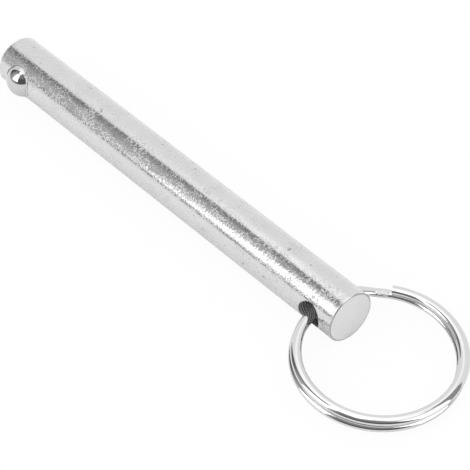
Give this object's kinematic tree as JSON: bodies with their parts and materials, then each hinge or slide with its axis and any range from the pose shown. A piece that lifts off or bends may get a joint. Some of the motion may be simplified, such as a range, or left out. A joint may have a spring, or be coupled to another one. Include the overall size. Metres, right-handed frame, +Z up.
{
  "type": "weight stack pin",
  "caption": "Round steel selector pin with a sprung detent ball near its tip and a split ring through a cross hole at the other end.",
  "frame": {"origin": "on the shank's axis, halfway between the detent ball and the cross hole", "axes": "+X along the shank towards the ring, +Z up with the pin lying on its side, cross hole along Y"},
  "size_m": [0.115, 0.0298, 0.0096],
  "materials": {
    "zinc_plated_steel": "bright zinc plate, finely speckled",
    "polished_ball_steel": "mirror polished",
    "spring_wire": "drawn wire",
    "nickel_plated_ring": "bright nickel plate"
  },
  "bodies": {
    "pin": {"shank": "zinc_plated_steel", "detent_spring": "spring_wire"},
    "ball": {"detent_ball": "polished_ball_steel"},
    "ring": {"split_ring": "nickel_plated_ring"}
  },
  "joints": [
    {"name": "ball_press", "type": "slide", "parent": "pin", "child": "ball", "axis": [0, 0.9903, -0.1392], "range_m": [0, 0.00175], "stiffness_N_per_m": 2000, "springref_m": -0.0012, "deforming": ["detent_spring"]},
    {"name": "ring_swing", "type": "hinge", "parent": "pin", "child": "ring", "pos_m": [0.0404, 0, 0], "axis": [0, 1, 0], "range_deg": [-170, 156]}
  ]
}
